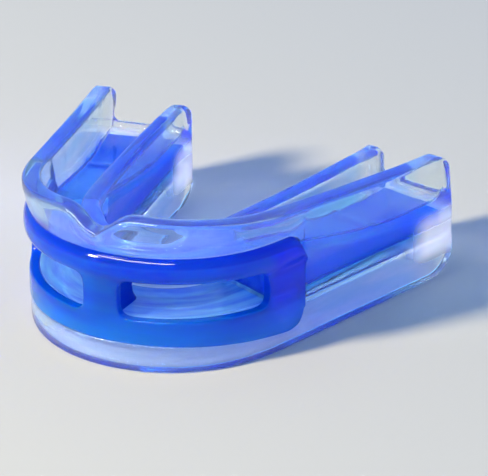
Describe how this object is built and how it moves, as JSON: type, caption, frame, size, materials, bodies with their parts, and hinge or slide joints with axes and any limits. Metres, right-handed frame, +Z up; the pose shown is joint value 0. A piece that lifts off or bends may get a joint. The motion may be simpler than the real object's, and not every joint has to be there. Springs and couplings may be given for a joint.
{
  "type": "mouthguard",
  "caption": "Double-arch sports mouthguard: clear upper and lower trays around a blue front shield with breathing windows and blue bite wedges in the arms.",
  "frame": {"origin": "centre of the footprint, on the surface that the guard stands on", "axes": "+Z up, towards the upper teeth; -Y towards the lips, so the two arms point along +Y; +X to the right for someone looking at the front shield, which is also what left and right mean in the node names"},
  "size_m": [0.0612, 0.0552, 0.024],
  "materials": {
    "clear_tray": "glossy translucent, slightly blue from the frame behind it",
    "blue_frame": "glossy tinted blue, barely see-through"
  },
  "bodies": {
    "root": {"upper_tray": "clear_tray", "lower_tray": "clear_tray", "front_shield": "blue_frame", "left_bite_wedge": "blue_frame", "right_bite_wedge": "blue_frame", "airway_divider": "blue_frame"}
  },
  "joints": []
}
